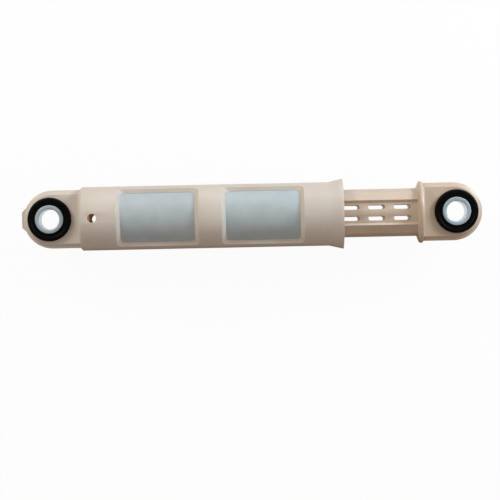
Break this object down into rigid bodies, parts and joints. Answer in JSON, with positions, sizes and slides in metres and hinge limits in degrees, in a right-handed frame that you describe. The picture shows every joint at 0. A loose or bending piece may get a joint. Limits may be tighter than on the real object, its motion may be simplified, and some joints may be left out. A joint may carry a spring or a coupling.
{
  "type": "washing machine shock absorber",
  "caption": "Friction shock absorber for a washing machine tub: a slotted plunger slides in a round windowed housing, with a rubber-bushed eye at each end.",
  "frame": {"origin": "middle of the bore in the housing's eye, half way through its sleeve", "axes": "+X along the absorber from the housing's eye to the plunger's eye; +Z along the bore of the housing's eye; +Y across the flat of the lug"},
  "size_m": [0.2618, 0.0398, 0.0398],
  "materials": {
    "cream_plastic": "satin moulded",
    "tan_plastic": "satin moulded",
    "plated_steel": "zinc plated",
    "black_rubber": "matt moulded",
    "lining_foam": "greased foam"
  },
  "bodies": {
    "housing": {"housing": "cream_plastic", "damper_tube": "plated_steel", "housing_bush": "black_rubber"},
    "housing_sleeve": {"housing_sleeve": "plated_steel"},
    "friction_lining": {"friction_lining": "lining_foam"},
    "plunger": {"plunger": "tan_plastic", "plunger_bush": "black_rubber"},
    "plunger_sleeve": {"plunger_sleeve": "plated_steel"}
  },
  "joints": [
    {"name": "plunger_slide", "type": "slide", "parent": "housing", "child": "friction_lining", "axis": [1, 0, 0], "range_m": [-0.042, 0.032]},
    {"name": "plunger_twist", "type": "hinge", "parent": "friction_lining", "child": "plunger", "pos_m": [0.1063, 0, 0], "axis": [1, 0, 0], "continuous": true},
    {"name": "housing_eye_turn", "type": "hinge", "parent": "housing", "child": "housing_sleeve", "pos_m": [0, 0, 0], "axis": [0, 0, 1], "range_deg": [-15, 15], "stiffness_Nm_per_rad": 1.5},
    {"name": "plunger_eye_turn", "type": "hinge", "parent": "plunger", "child": "plunger_sleeve", "pos_m": [0.231, 0, 0], "axis": [0, 0, 1], "range_deg": [-15, 15], "stiffness_Nm_per_rad": 1.5}
  ]
}
